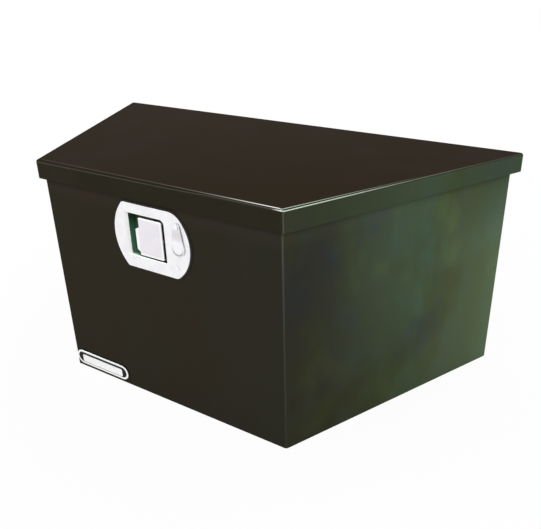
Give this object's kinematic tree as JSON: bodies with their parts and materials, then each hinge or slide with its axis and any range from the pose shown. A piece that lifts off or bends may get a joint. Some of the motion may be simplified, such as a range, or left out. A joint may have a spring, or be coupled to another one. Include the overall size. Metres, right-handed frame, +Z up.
{
  "type": "trailer tongue box",
  "caption": "Trapezoid sheet-metal tool box for a trailer tongue, with a lid on a rear piano hinge, gas struts and a flush paddle latch with a covered key lock.",
  "frame": {"origin": "on the ground under the middle of the box's bounding box", "axes": "+Z up, +X to the right along the wide rear, the latch faces -Y"},
  "size_m": [0.92, 0.451, 0.415],
  "materials": {
    "paint": "satin dark powder coat",
    "stainless": "bright stainless, lightly brushed",
    "zinc": "zinc-plated steel",
    "bright_steel": "ground steel",
    "rubber": "black foam rubber",
    "tube_enamel": "black enamel",
    "socket_plastic": "black moulded plastic",
    "brass": "plain brass"
  },
  "bodies": {
    "tub": {"front_panel": "paint", "left_side_panel": "paint", "right_side_panel": "paint", "rear_panel": "paint", "floor_pan": "paint", "rim_frame": "paint", "rim_seal": "rubber", "hinge_body_leaf": "zinc", "hinge_pin": "bright_steel", "badge_plate": "stainless", "latch_plate": "stainless", "latch_gasket": "rubber", "latch_clamp": "zinc", "latch_nut_1": "zinc", "latch_nut_2": "zinc", "latch_nut_3": "zinc", "latch_nut_4": "zinc", "bolt_housing": "zinc", "bolt_spring": "bright_steel", "paddle_pivot_pin": "bright_steel", "lock_housing": "stainless", "cover_rivet": "stainless", "lock_rivet": "stainless", "left_strut_tub_arm": "zinc", "right_strut_tub_arm": "zinc", "left_strut_tub_stud": "bright_steel", "right_strut_tub_stud": "bright_steel"},
    "lid": {"lid_shell": "paint", "lid_stiffener": "paint", "hinge_lid_leaf": "zinc", "striker_bracket": "zinc", "left_strut_lid_arm": "zinc", "right_strut_lid_arm": "zinc", "left_strut_lid_stud": "bright_steel", "right_strut_lid_stud": "bright_steel"},
    "paddle": {"paddle_handle": "stainless"},
    "bolt": {"latch_bolt": "zinc"},
    "lock": {"lock_plug": "brass", "lock_cam": "zinc", "lock_nut": "brass"},
    "cover": {"lock_cover": "stainless"},
    "left_strut_tube_body": {"left_strut_tube": "tube_enamel", "left_strut_tube_socket": "socket_plastic"},
    "left_strut_rod_body": {"left_strut_rod": "bright_steel", "left_strut_rod_socket": "socket_plastic"},
    "right_strut_tube_body": {"right_strut_tube": "tube_enamel", "right_strut_tube_socket": "socket_plastic"},
    "right_strut_rod_body": {"right_strut_rod": "bright_steel", "right_strut_rod_socket": "socket_plastic"}
  },
  "joints": [
    {"name": "lid_hinge", "type": "hinge", "parent": "tub", "child": "lid", "pos_m": [0, 0.2195, 0.378], "axis": [-1, 0, 0], "range_deg": [0, 75]},
    {"name": "paddle_pull", "type": "hinge", "parent": "tub", "child": "paddle", "pos_m": [0.0192, -0.212, 0.31795], "axis": [0, 0, 1], "range_deg": [0, 30], "stiffness_Nm_per_rad": 0.44, "springref_deg": -14.32},
    {"name": "bolt_slide", "type": "slide", "parent": "tub", "child": "bolt", "axis": [1, 0, 0], "range_m": [-0.011, 0], "deforming": ["bolt_spring"]},
    {"name": "lock_turn", "type": "hinge", "parent": "tub", "child": "lock", "pos_m": [0.0522, -0.2025, 0.31445], "axis": [0, 1, 0], "range_deg": [0, 90]},
    {"name": "cover_swing", "type": "hinge", "parent": "tub", "child": "cover", "pos_m": [0.0522, -0.2219, 0.35045], "axis": [0, -1, 0], "range_deg": [-25, 100]},
    {"name": "left_tube_swing", "type": "hinge", "parent": "lid", "child": "left_strut_tube_body", "pos_m": [-0.29757, 0.01977, 0.38847], "axis": [-1, 0, 0], "range_deg": [-37.5, 0]},
    {"name": "left_rod_swing", "type": "hinge", "parent": "tub", "child": "left_strut_rod_body", "pos_m": [-0.29757, 0.17451, 0.18313], "axis": [-1, 0, 0], "range_deg": [0, 37.5]},
    {"name": "right_tube_swing", "type": "hinge", "parent": "lid", "child": "right_strut_tube_body", "pos_m": [0.29757, 0.01977, 0.38847], "axis": [-1, 0, 0], "range_deg": [-37.5, 0]},
    {"name": "right_rod_swing", "type": "hinge", "parent": "tub", "child": "right_strut_rod_body", "pos_m": [0.29757, 0.17451, 0.18313], "axis": [-1, 0, 0], "range_deg": [0, 37.5]}
  ],
  "couplings": [
    {"joint": "bolt_slide", "follows": "paddle_pull", "m_per_rad": -0.021},
    {"joint": "left_tube_swing", "follows": "lid_hinge", "ratio": -0.5},
    {"joint": "left_rod_swing", "follows": "lid_hinge", "ratio": 0.5},
    {"joint": "right_tube_swing", "follows": "lid_hinge", "ratio": -0.5},
    {"joint": "right_rod_swing", "follows": "lid_hinge", "ratio": 0.5}
  ]
}
